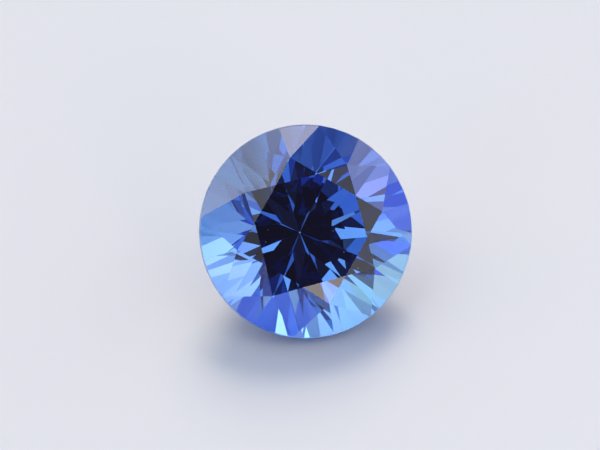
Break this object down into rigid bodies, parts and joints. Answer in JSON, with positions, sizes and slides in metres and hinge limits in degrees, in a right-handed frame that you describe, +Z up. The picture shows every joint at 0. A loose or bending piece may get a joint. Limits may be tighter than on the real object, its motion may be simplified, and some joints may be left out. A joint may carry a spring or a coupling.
{
  "type": "round cut blue sapphire",
  "caption": "Loose round brilliant-cut blue sapphire, a polished transparent gem with table, crown, girdle and pavilion facets, lying on one pavilion facet.",
  "frame": {"origin": "centre of the box's bottom face, on the surface that the stone lies on", "axes": "+Z up; the stone lies on one lower half facet with its table leaning back and facing -Y and up; +X runs along the girdle's level diameter"},
  "size_m": [0.007, 0.0052, 0.0052],
  "materials": {
    "blue_sapphire": "polished, clear blue corundum"
  },
  "bodies": {
    "root": {"sapphire": "blue_sapphire"}
  },
  "joints": []
}
